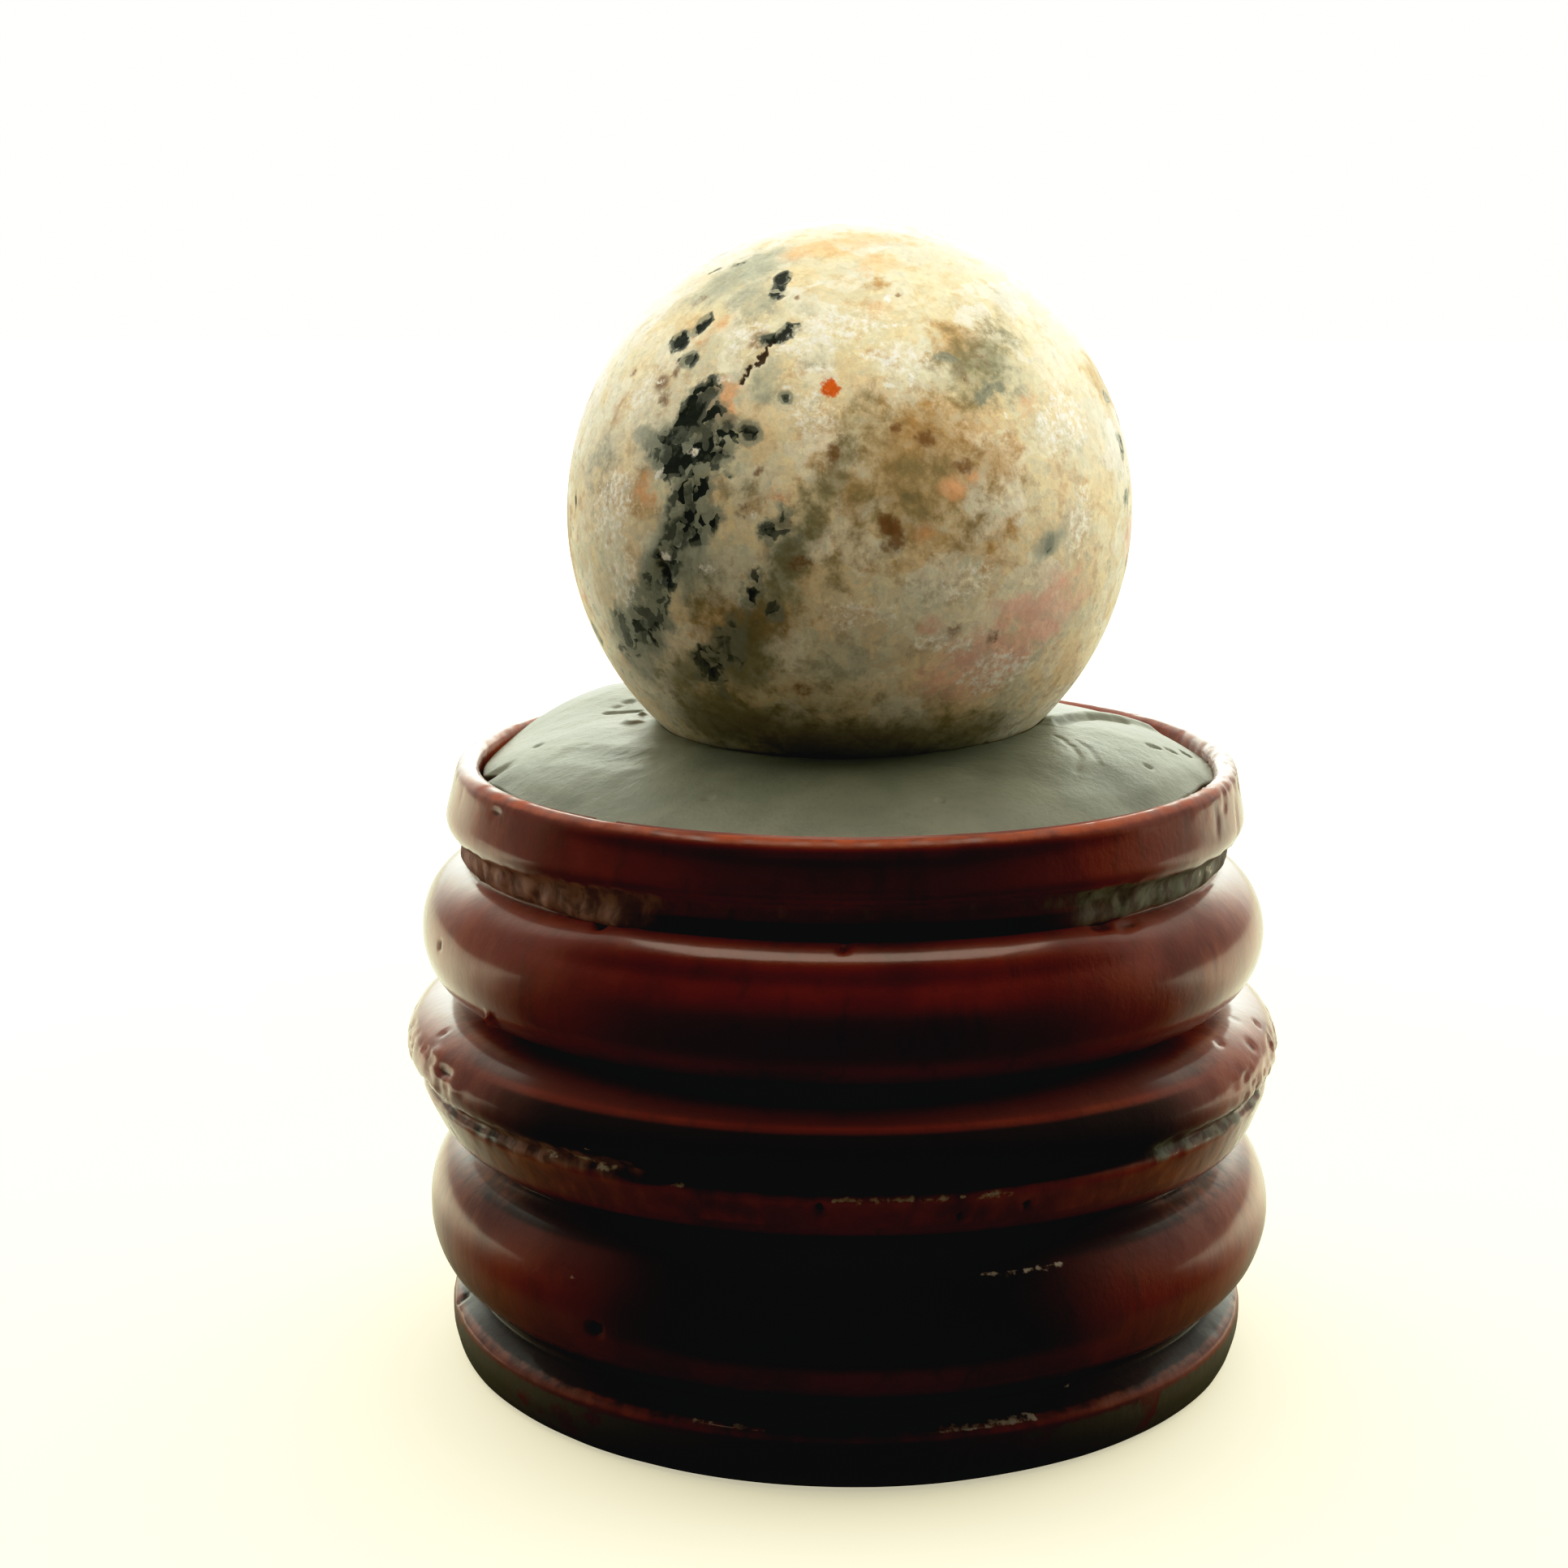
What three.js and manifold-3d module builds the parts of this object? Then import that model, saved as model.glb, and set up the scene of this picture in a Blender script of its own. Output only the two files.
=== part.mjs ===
// A polished stone ball on a turned wooden stand.
// The ball sits in a pad of modelling putty that fills the shallow recess in the stand's top.
// Millimetres, +Z up. The origin is the centre of the stand's underside.

import * as THREE from 'three';
import { mergeVertices } from 'three/addons/utils/BufferGeometryUtils.js';
import Module from 'manifold-3d';

// ---- Driving dimensions -------------------------------------------------------------------

const gap = 0.3;               // clearance between pieces that touch
const weldDistance = 1e-4;     // vertices closer than this are one vertex
const turnSegments = 52;       // facets round the stand and the putty
const torusSteps = 12;         // facets up the round of each torus
const padRings = 9;            // rings of facets across the putty's top
const ballSegments = 40;       // facets round the ball
const ballRings = 20;          // facets from the ball's bottom to its top

// Base disc: a slightly swollen upright side, a small round edge and a sloping shoulder
const baseFootRadius = 28.6;
const baseRadius = 29.1;
const baseSwellHeight = 2.0;
const baseEdgeHeight = 3.3;
const baseEdgeRadius = 0.65;

// Grooves between the turned members: radius and height of each groove's deepest corner
const lowerGroove = { radius: 27.3, height: 4.9 };
const middleGroove = { radius: 27.3, height: 16.2 };
const upperGroove = { radius: 26.4, height: 26.4 };

// Two tori of elliptical section, each turned from just past its lowest point to just short of
// its highest, in degrees from its widest line
const torusFrom = -80;
const torusTo = 78;
const lowerTorus = { radius: 27.15, height: 10.8, bulge: 3.55, rise: 4.9 };
const upperTorus = { radius: 25.9, height: 31.2, bulge: 4.4, rise: 4.8 };

// Flange: a lower lip, a narrow V cut, an upper lip and a rounded shoulder
const flangeUnder = { radius: 29.0, height: 17.0 };
const lowerLipFoot = { radius: 29.65, height: 17.8 };
const lowerLipTop = { radius: 30.8, height: 20.4 };
const lipCut = { radius: 30.2, height: 21.2 };
const upperLipFoot = { radius: 31.4, height: 22.1 };
const flangeRadius = 31.6;
const flangeHeight = 22.8;
const shoulderRise = 3.4;      // from the flange's widest line up to the shoulder's inner edge
const shoulderWidth = 4.0;     // from the flange's widest line in to the shoulder's inner edge

// Neck and rim
const neck = { radius: 27.4, foot: 36.5, top: 37.9 };
const rimFoot = { radius: 28.4, height: 38.6 };
const rimWide = { radius: 28.6, height: 39.3 };
const rimWallTop = { radius: 27.95, height: 42.3 };
const lipRadius = 0.87;        // round of the rim's upper edge
const rimHeight = 43.2;

// Recess in the top
const recessRadius = 26.2;
const recessFloor = 38.0;

// Putty pad
const padRadius = recessRadius - gap;
const padFloor = recessFloor + gap;
const padEdge = { height: 42.1, rearLift: 0.43 };      // edge height, and its rise to the rear
const padCrown = { height: 45.75, sideLift: 0.25 };    // height at the ball, and its rise to +X
const padCrownRadius = 13.6;
const padRoundness = 2.2;      // how full the pad's side is between crown and edge
const padLump = { x: -19.5, y: 14.5, height: 2.0, spread: 6.0 };
const padHollow = { x: 11.5, y: 19.0, height: -0.9, spread: 7.0 };

// Ball: a hand-ground sphere, a little taller than it is wide
const ballRadius = 19.9;
const ballHalfHeight = 20.2;
const ballCentre = 60.4;

// ---- Profile helpers ----------------------------------------------------------------------

const deg = THREE.MathUtils.degToRad;

// Points on an ellipse in the profile plane, from one angle to another
function ellipseArc(centreRadius, centreHeight, bulge, rise, fromDeg, toDeg, steps) {
  const points = [];
  for (let i = 0; i <= steps; i += 1) {
    const angle = deg(fromDeg + (toDeg - fromDeg) * (i / steps));
    const radius = centreRadius + bulge * Math.cos(angle);
    points.push(new THREE.Vector2(radius, centreHeight + rise * Math.sin(angle)));
  }
  return points;
}

function corner({ radius, height }) {
  return new THREE.Vector2(radius, height);
}

// A round edge is an arc of one radius
function roundEdge(centreRadius, centreHeight, edgeRadius, fromDeg, toDeg, steps) {
  return ellipseArc(centreRadius, centreHeight, edgeRadius, edgeRadius, fromDeg, toDeg, steps);
}

function torusArc({ radius, height, bulge, rise }) {
  return ellipseArc(radius, height, bulge, rise, torusFrom, torusTo, torusSteps);
}

// The whole turned profile, from the centre of the underside to the centre of the recess
function standProfile() {
  return [
    new THREE.Vector2(0, 0),
    new THREE.Vector2(baseFootRadius, 0),
    new THREE.Vector2(baseRadius, baseSwellHeight),
    ...roundEdge(baseRadius - baseEdgeRadius, baseEdgeHeight, baseEdgeRadius, 0, 75, 3),
    corner(lowerGroove),
    ...torusArc(lowerTorus),
    corner(middleGroove),
    corner(flangeUnder),
    corner(lowerLipFoot),
    corner(lowerLipTop),
    corner(lipCut),
    corner(upperLipFoot),
    ...ellipseArc(flangeRadius - shoulderWidth, flangeHeight, shoulderWidth, shoulderRise, 0, 90, 7),
    corner(upperGroove),
    ...torusArc(upperTorus),
    new THREE.Vector2(neck.radius, neck.foot),
    new THREE.Vector2(neck.radius, neck.top),
    corner(rimFoot),
    corner(rimWide),
    corner(rimWallTop),
    ...roundEdge(recessRadius + lipRadius, rimHeight - lipRadius, lipRadius, 10, 180, 6),
    new THREE.Vector2(recessRadius, recessFloor),
    new THREE.Vector2(0, recessFloor),
  ];
}

// ---- Putty surface ------------------------------------------------------------------------

function bump(x, y, { x: centreX, y: centreY, height, spread }) {
  const distanceSquared = (x - centreX) ** 2 + (y - centreY) ** 2;
  return height * Math.exp(-distanceSquared / (2 * spread ** 2));
}

// Height of the hand-pressed top of the putty at a point, before the ball's seat is cut
function padTop(x, y) {
  const radius = Math.hypot(x, y);
  const acrossX = radius > 0 ? x / radius : 0;
  const acrossY = radius > 0 ? y / radius : 0;
  const edge = padEdge.height + padEdge.rearLift * acrossY;
  const crown = padCrown.height + padCrown.sideLift * acrossX;
  const run = THREE.MathUtils.clamp((radius - padCrownRadius) / (padRadius - padCrownRadius), 0, 1);
  const pillow = edge + (crown - edge) * (1 - run ** padRoundness);
  return pillow + bump(x, y, padLump) + bump(x, y, padHollow);
}

// ---- Solids -------------------------------------------------------------------------------

// Turn a profile about Z; LatheGeometry itself turns about Y
function turned(profile) {
  return new THREE.LatheGeometry(profile, turnSegments).rotateX(Math.PI / 2);
}

// A disc whose rim and rings are turned first, then raised to the putty's own surface
function puttyBlank() {
  const profile = [new THREE.Vector2(0, 0), new THREE.Vector2(padRadius, 0)];
  for (let i = 0; i < padRings; i += 1) {
    profile.push(new THREE.Vector2(padRadius * (1 - i / padRings), 1));
  }
  profile.push(new THREE.Vector2(0, 1));
  const geometry = turned(profile);
  const position = geometry.attributes.position;
  for (let i = 0; i < position.count; i += 1) {
    const top = padTop(position.getX(i), position.getY(i));
    position.setZ(i, padFloor + position.getZ(i) * (top - padFloor));
  }
  return geometry;
}

function ballGeometry(radius, halfHeight) {
  return new THREE.SphereGeometry(1, ballSegments, ballRings)
    .rotateX(Math.PI / 2)
    .scale(radius, radius, halfHeight)
    .translate(0, 0, ballCentre);
}

const wasm = await Module();
wasm.setup();

function toSolid(geometry) {
  const bare = geometry.clone();
  bare.deleteAttribute('normal');
  bare.deleteAttribute('uv');
  const merged = mergeVertices(bare, weldDistance);
  return new wasm.Manifold(new wasm.Mesh({
    numProp: 3,
    vertProperties: new Float32Array(merged.attributes.position.array),
    triVerts: new Uint32Array(merged.index.array),
  }));
}

function toGeometry(solid) {
  const mesh = solid.getMesh();
  const geometry = new THREE.BufferGeometry();
  geometry.setAttribute('position', new THREE.BufferAttribute(mesh.vertProperties, 3));
  geometry.setIndex(new THREE.BufferAttribute(mesh.triVerts, 1));
  geometry.computeVertexNormals();
  return geometry;
}

function makePiece(name, geometry, color, roughness) {
  const material = new THREE.MeshStandardMaterial({ color, roughness, metalness: 0 });
  const mesh = new THREE.Mesh(geometry, material);
  mesh.name = name;
  return mesh;
}

// ---- Pieces -------------------------------------------------------------------------------

function makeStand() {
  return makePiece('turned_stand', turned(standProfile()), 0x5a1d10, 0.25);
}

function makePutty() {
  const blank = toSolid(puttyBlank());
  const seat = toSolid(ballGeometry(ballRadius + gap, ballHalfHeight + gap));
  return makePiece('putty_pad', toGeometry(blank.subtract(seat)), 0x8b9685, 0.85);
}

function makeBall() {
  return makePiece('stone_sphere', ballGeometry(ballRadius, ballHalfHeight), 0xcfc6ae, 0.3);
}

const group = new THREE.Group();
group.add(makeStand(), makePutty(), makeBall());

export default group;
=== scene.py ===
"""Looks for a small polished stone ball, bedded in putty on a turned and lacquered wooden stand.

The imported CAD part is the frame: its three nodes give the places, and three finer meshes stand for them.
Every piece is worked out in millimetres and handed to Blender in metres. +Z is up and -Y is the front.
Angles round the axis are in degrees from the front, positive towards +X.
"""

import math

import bmesh
import bpy
import numpy as np
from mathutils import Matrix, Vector, noise


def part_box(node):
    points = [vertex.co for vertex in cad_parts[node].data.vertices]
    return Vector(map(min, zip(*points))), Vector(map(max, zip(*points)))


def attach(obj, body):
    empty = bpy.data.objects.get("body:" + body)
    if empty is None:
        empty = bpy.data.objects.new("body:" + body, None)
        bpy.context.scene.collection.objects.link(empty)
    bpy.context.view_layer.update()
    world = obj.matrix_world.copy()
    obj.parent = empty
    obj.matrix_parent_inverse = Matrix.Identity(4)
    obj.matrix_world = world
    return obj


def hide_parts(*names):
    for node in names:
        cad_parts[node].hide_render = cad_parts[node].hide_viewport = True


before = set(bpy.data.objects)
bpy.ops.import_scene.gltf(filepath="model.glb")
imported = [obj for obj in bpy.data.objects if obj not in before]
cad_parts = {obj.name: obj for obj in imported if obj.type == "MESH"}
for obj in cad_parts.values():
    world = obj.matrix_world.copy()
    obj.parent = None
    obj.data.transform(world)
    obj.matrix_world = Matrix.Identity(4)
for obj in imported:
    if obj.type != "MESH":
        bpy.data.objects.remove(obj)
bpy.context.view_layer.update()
noise.seed_set(5)  # without a seed the vector noises differ from run to run

MM = 0.001


def box_mm(node):
    """A CAD node's lowest and highest corners in millimetres."""
    low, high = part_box(node)
    return np.array(low) / MM, np.array(high) / MM


STAND_TOP = box_mm("turned_stand")[1][2]
PAD_FLOOR = box_mm("putty_pad")[0][2]
BALL_LOW, BALL_HIGH = box_mm("stone_sphere")
BALL_CENTRE = (BALL_LOW + BALL_HIGH) / 2
BALL_RADII = (BALL_HIGH - BALL_LOW) / 2

# ---- Small tools ----

SEED_SHIFT = Vector((7.1, 3.7, 5.3))  # how far apart the noises of two seeds are taken
STEP_SLACK = 0.01  # a stretch this share of a step too long isn't cut again


def smooth(value, low, high):
    """0 below low, 1 above high and a smooth rise between them; low may be the larger one."""
    run = np.clip((value - low) / (high - low), 0.0, 1.0)
    return run * run * (3.0 - 2.0 * run)


def between(value, low, high, soft):
    """1 from low to high, fading out over soft on either side."""
    return smooth(value, low - soft, low) * (1.0 - smooth(value, high, high + soft))


def fractal(points, size, octaves=3, seed=0):
    """Fractal noise, about -1 to 1, whose largest lumps are as wide as size."""
    shift = SEED_SHIFT * seed
    scaled = np.asarray(points, float) / size
    return np.array([noise.fractal(Vector(p) + shift, 1.0, 2.0, octaves) for p in scaled])


def streaks(points, across, along, octaves, seed):
    """Noise drawn out upwards, as torn wood fibres and tool marks are."""
    return fractal(points / (across, across, along), 1.0, octaves, seed)


def unit(vectors):
    """Each row scaled to a length of 1."""
    return vectors / np.linalg.norm(vectors, axis=1, keepdims=True)


def signed(angle):
    """The same angle from -180 to 180 degrees."""
    return (angle + 180) % 360 - 180


def turned_points(angle, radius, height):
    """Points at angles in degrees from the front, radii and heights, as an array of x, y, z."""
    turn = np.radians(angle)
    return np.stack([radius * np.sin(turn), -radius * np.cos(turn), height], axis=-1)


def ellipse_arc(centre_radius, centre_height, bulge, rise, start, end, steps):
    """Profile points on an ellipse between two angles in degrees, 0 being its widest line."""
    turn = np.radians(np.linspace(start, end, steps + 1))
    return list(zip(centre_radius + bulge * np.cos(turn), centre_height + rise * np.sin(turn)))


def resampled(profile, step):
    """The profile with every stretch cut into pieces no longer than step; its corners are kept."""
    points = [profile[0]]
    for start, end in zip(profile[:-1], profile[1:]):
        span = np.subtract(end, start)
        count = max(1, math.ceil(math.hypot(*span) / step - STEP_SLACK))
        for i in range(1, count + 1):
            points.append(np.add(start, span * (i / count)))
    return np.array(points)


def eased(profile, rounds):
    """The profile with its corners worn round, as lacquer fills them; both ends stay."""
    worn = profile.copy()
    for _ in range(rounds):
        worn[1:-1] = 0.25 * worn[:-2] + 0.5 * worn[1:-1] + 0.25 * worn[2:]
    return worn


def outward(profile):
    """The direction straight out of the profile at each of its points, as radius and height."""
    slope = np.gradient(profile, axis=0)
    return unit(np.stack([slope[:, 1], -slope[:, 0]], axis=-1))


def turn_angles(count, crowding):
    """Angles for the columns of a turned mesh, closer together at the front by crowding."""
    share = np.arange(count) / count
    return np.degrees(2 * math.pi * share - crowding * np.sin(2 * math.pi * share))


def linked_piece(name, mesh):
    """A smooth-shaded object in the scene."""
    mesh.shade_smooth()
    piece = bpy.data.objects.new(name, mesh)
    bpy.context.scene.collection.objects.link(piece)
    return piece


def turned_piece(name, rings, low_pole, high_pole):
    """A closed mesh from rings of points, an array of ring, column, xyz, and a point at each end."""
    ring_count, columns = rings.shape[:2]
    index = np.arange(ring_count * columns).reshape(ring_count, columns)
    after = np.roll(index, -1, axis=1)
    quads = np.stack([index[:-1], after[:-1], after[1:], index[1:]], axis=-1).reshape(-1, 4)
    low = ring_count * columns
    high = low + 1
    faces = quads.tolist()
    faces += [(low, b, a) for a, b in zip(index[0].tolist(), after[0].tolist())]
    faces += [(high, a, b) for a, b in zip(index[-1].tolist(), after[-1].tolist())]
    vertices = np.concatenate([rings.reshape(-1, 3), [low_pole, high_pole]])
    mesh = bpy.data.meshes.new(name)
    mesh.from_pydata((vertices * MM).tolist(), [], faces)
    mesh.update()
    return linked_piece(name, mesh)


def paint(piece, name, values):
    """Stores one number for each vertex, for the material to read by name."""
    padded = np.zeros(len(piece.data.vertices), np.float32)
    flat = np.asarray(values, np.float32).ravel()
    padded[: len(flat)] = flat
    piece.data.attributes.new(name, "FLOAT", "POINT").data.foreach_set("value", padded)


# ---- The turned stand ----

RECESS_RADIUS = 26.2
RECESS_FLOOR = 38.0
LIP_ROUND = 0.87


def stand_profile():
    """Radius and height from the edge of the underside up the outside and down into the recess."""
    return [
        (28.2, 0.0),
        (28.6, 0.25),
        (29.1, 2.0),
        *ellipse_arc(28.45, 3.3, 0.65, 0.65, 0, 75, 4),
        (27.3, 4.9),
        *ellipse_arc(27.15, 10.8, 3.55, 4.9, -80, 78, 40),
        (27.3, 16.2),
        (29.0, 17.0),
        (29.65, 17.8),
        (30.8, 20.4),
        (30.2, 21.2),
        (31.4, 22.1),
        *ellipse_arc(27.6, 22.8, 4.0, 3.4, 0, 90, 20),
        (26.4, 26.4),
        *ellipse_arc(25.9, 31.2, 4.4, 4.8, -80, 78, 44),
        (27.4, 36.5),
        (27.4, 37.9),
        (28.4, 38.6),
        (28.6, 39.3),
        (27.95, 42.3),
        *ellipse_arc(RECESS_RADIUS + LIP_ROUND, STAND_TOP - LIP_ROUND, LIP_ROUND, LIP_ROUND, 10, 180, 10),
        (RECESS_RADIUS, RECESS_FLOOR),
    ]


# The turning is a little off centre: how far each height leans towards +X
LEAN_HEIGHTS = (0, 5, 10.8, 17, 22.8, 26.4, 31.2, 35, 38, 43.2)
LEAN_X = (-0.1, 0, 0.15, 0, -0.4, -0.45, -0.4, -0.45, -0.3, -0.15)

# How much lower the rim's upper edge is at the front than at its sides, and higher at the rear
RIM_TILT = 0.6
TILT_HEIGHTS = (38.0, 42.5)  # the tilt grows from nothing at the first height to the whole at the second
WALL_RADIUS = 26.3  # just outside the recess's wall

STAND_STEP = 0.33  # longest stretch of the profile, in mm
STAND_EASING = 2  # rounds of easing for the profile's corners
STAND_COLUMNS = 436
STAND_CROWDING = 0.35


def make_stand():
    profile = eased(resampled(stand_profile(), STAND_STEP), STAND_EASING)
    normal = outward(profile)
    angles = turn_angles(STAND_COLUMNS, STAND_CROWDING)
    angle, radius = np.meshgrid(signed(angles), profile[:, 0])
    _, height = np.meshgrid(angles, profile[:, 1])

    surface = StandSurface(angle, radius, height)
    small_relief, dirt_and_shade, crumbs, pale = small_marks(surface)
    relief = turned_relief(surface) + small_relief
    radius = radius + relief * normal[:, :1]
    height = height + relief * normal[:, 1:]
    rings = turned_points(angle, radius, height)
    rings[..., 0] += np.interp(height, LEAN_HEIGHTS, LEAN_X)
    tilt = RIM_TILT * np.cos(np.radians(angle)) * smooth(height, *TILT_HEIGHTS)
    rings[..., 2] -= tilt * (radius > WALL_RADIUS)
    rings[..., 2] = np.clip(rings[..., 2], 0.0, STAND_TOP + RIM_TILT)

    piece = turned_piece("stand", rings, (0, 0, 0), (0, 0, RECESS_FLOOR))
    for name, values in stand_masks(surface, dirt_and_shade, crumbs, pale).items():
        paint(piece, name, values)
    return piece


# Pits: angle, height, half width round the stand, half height and depth in mm
STAND_PITS = (
    (-33.5, 35.8, 0.5, 0.4, 0.5), (-65, 31.9, 0.25, 0.35, 0.3), (-66, 25.5, 0.25, 0.2, 0.18),
    (72, 26, 0.2, 0.2, 0.2), (61, 25.8, 0.5, 0.14, 0.2), (14, 18.8, 0.25, 0.3, 0.3),
    (22.6, 19.2, 0.3, 0.35, 0.3), (-2.7, 19.7, 0.35, 0.45, 0.45), (-32.3, 9.7, 0.55, 0.5, 0.6),
    (-76, 3.9, 0.4, 0.35, 0.4), (-56, 42.2, 0.8, 0.35, 0.12), (37, 35.65, 1.1, 0.2, 0.28),
    (41.5, 35.5, 1.2, 0.17, 0.2), (67, 25, 0.6, 0.4, 0.15), (-59, 24, 1.2, 0.35, 0.25),
    (-24, 20.8, 1.8, 0.4, 0.5), (0.5, 35.5, 0.4, 0.2, 0.2), (75, 25.3, 0.2, 0.2, 0.2),
    (60, 31.5, 0.2, 0.2, 0.15), (-12, 31, 0.3, 0.2, 0.12), (150, 32, 0.5, 0.4, 0.4),
    (-140, 12, 0.5, 0.5, 0.5), (118, 24.8, 0.8, 0.3, 0.3), (-160, 40.5, 0.4, 0.3, 0.3),
    (-103, 31, 0.3, 0.3, 0.3), (170, 9, 0.4, 0.5, 0.4),
)
# Lumps, in the same way, with how far they stand proud in place of a depth
STAND_LUMPS = (
    (-52, 28.3, 0.4, 0.5, 0.5), (-48, 37.4, 0.9, 0.6, 0.18), (-56, 37.2, 0.8, 0.7, 0.22),
    (-64, 37.3, 0.7, 0.7, 0.2), (-44, 36.8, 0.7, 0.5, 0.12), (-63, 24.6, 1, 0.4, 0.12),
    (-55, 23.3, 1, 0.4, 0.12),
)
# Pale wood showing in broken dashes: first and last angle, height and half height
PALE_DASHES = (
    (-1, 21, 20.35, 0.24), (-20, -7, 3.95, 0.13), (10, 26, 3.95, 0.2), (17, 28, 14.5, 0.16),
    (-22, -19, 20.7, 0.2), (60, 66, 37.4, 0.4), (-24.4, -24, 39.6, 0.15),
    (31.8, 32.3, 5, 0.15), (-36.3, -35.8, 12.7, 0.15), (-31, -29.5, 22.4, 0.12), (130, 150, 20.4, 0.2),
    (-130, -112, 3.95, 0.16), (172, 179, 20.4, 0.2), (-150, -140, 22.9, 0.2),
)
# Painted shade, dark and dull lacquer at the front: lowest and highest height, softness, half angle and
# strength
PAINTED_SHADE_ZONES = (
    (0, 3.2, 0.7, 38, 0.5), (9.8, 16, 1.6, 17, 0.85), (16, 17.3, 0.5, 28, 0.9),
    (20.9, 24.5, 0.5, 31, 1), (36, 37.1, 0.3, 18, 0.95), (39.7, 41.8, 0.5, 12, 0.5),
    (29.4, 31.6, 1.6, 20, 0.45),
)
# Painted shade beside the creases at the front, dark lacquer under a full gloss: lowest and highest height,
# strength and half angle
PAINTED_SHADE_LEDGES = ((4, 5.7, 0.8, 90), (14.9, 16.6, 0.7, 70), (25.3, 26.6, 0.5, 52))

# Bands of the stand: lowest and highest height, softness and, where one height is met twice, least radius
TORUS_TOP = (34.9, 36.2, 1.2, 26.5)
RIM_FRONT = (37.8, 41.8, 0.8, 27.5)
NECK = (36.4, 38.3, 0.5, 26.8)
NECK_TOP = (37.5, 38.2, 0.3, 26.8)
V_CUT = (20.5, 21.9, 0.35)
V_CUT_MIDDLE = (20.8, 21.5, 0.3)
LOWER_LIP = (17.6, 20.3, 0.3, 29.0)
LOWER_LIP_FACE = (18.3, 20.5, 0.3, 29.0)
UPPER_LIP = (22.4, 23.0, 0.5, 31.0)
FLANGE_EDGE = (22.0, 24.2, 0.7, 30.5)
FLANGE_FACE = (22.2, 24.4, 0.6, 29.0)
SHOULDER = (24.0, 26.3, 0.5, 27.6)
RIM_NICKS = (41.6, 43.3, 0.4)
RIM_WALL = (39.0, 42.3, 0.4)
RIM_LINE = (42.8, 43.2, 0.15)
BASE_EDGE = (3.4, 4.1, 0.3)
BASE_EDGE_LINE = (3.5, 3.95, 0.25)
BASE_SIDE = (-1, 3.0, 0.4, 28.0)

DIRT_AND_SHADE_DEPTH = 0.28  # a pit deeper than this is darkened fully, as grime and painted shade in the hollow


class StandSurface:
    """The stand's points as grids of ring and column, and the noises that its marks follow."""

    def __init__(self, angle, radius, height):
        self.angle = angle
        self.radius = radius
        self.height = height
        points = turned_points(angle, radius, height).reshape(-1, 3)
        self.waves = self.grid(0.05 * fractal(points, 14, 2, 1) + 0.025 * fractal(points, 4, 2, 2))
        self.ragged = self.grid(fractal(points, 1.6, 3, 3))
        self.broad = self.grid(fractal(points, 9.0, 3, 6))
        self.fibres = self.grid(streaks(points, 0.7, 5.0, 3, 4))
        self.coarse = self.grid(streaks(points, 1.5, 5.0, 2, 5))
        self.crumbled = self.grid(fractal(points, 0.9, 2, 8))

    def grid(self, values):
        return values.reshape(self.angle.shape)

    def band(self, low, high, soft, least_radius=0.0):
        """1 from one height to another, but only beyond the least radius."""
        return between(self.height, low, high, soft) * (self.radius > least_radius)

    def around(self, low, high, soft=6.0):
        """1 for angles from low to high, fading over soft degrees."""
        return between(self.angle, low, high, soft)

    def spot(self, middle, level, half_width, half_height, sway=0.0, lift=0.0):
        """1 at the middle of a small mark, 0 past its edge; sway (degrees) and lift (mm) make it ragged."""
        across = np.radians(signed(self.angle + sway - middle)) * self.radius / half_width
        up = (self.height + lift - level) / half_height
        return smooth(np.hypot(across, up), 1.25, 0.45)


def torn_neck(s):
    """1 where the cut across the grain tore the neck, most at the left and the right."""
    return s.band(*NECK) * (s.around(-80, -34, 14) + s.around(42, 80, 16) + s.around(120, 170))


def torn_cut(s):
    """1 where the V cut between the flange's lips is torn."""
    front_and_right = s.around(-62, -26, 4) + s.around(42, 72, 4) + s.around(150, 200)
    return np.minimum(s.band(*V_CUT) * (front_and_right + s.around(-180, -140)), 1.0)


def lost_edges(s):
    """How much is gone from the flange's edge, the rim and the base's upper edge, in mm."""
    chipped = s.band(*FLANGE_EDGE) * (s.around(60, 110) + 0.7 * s.around(-100, -60) + 0.1)
    lost = 0.2 * chipped * smooth(s.ragged + 0.4 * s.coarse, 0.05, 0.8)
    lost += 0.14 * chipped * smooth(s.crumbled, 0.0, 0.5)
    nicked = s.band(*RIM_NICKS) * (s.around(60, 135) + 0.5 * s.around(-110, -70) + 0.1)
    lost += 0.1 * nicked * smooth(s.fibres, 0.1, 0.7)
    lost += 0.1 * s.band(*RIM_WALL) * s.around(55, 74, 4) * smooth(s.coarse, 0.0, 0.6)
    lost += 0.05 * s.band(*BASE_EDGE) * smooth(s.ragged + s.broad, 0.1, 0.8)
    return lost


def turned_relief(s):
    """How far the wood and its lacquer stand proud of the profile, in mm, without the small marks."""
    at_front = s.around(-28, 28, 22)
    relief = s.waves + at_front * (0.5 * s.band(*TORUS_TOP) - 0.3 * s.band(*RIM_FRONT))
    relief += torn_neck(s) * (0.16 * s.ragged + 0.07 * s.crumbled + 0.08)
    relief += torn_cut(s) * (0.14 * s.ragged + 0.08 * s.crumbled + 0.1)
    relief += 0.03 * s.band(*LOWER_LIP) * s.fibres
    return relief - lost_edges(s)


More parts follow.
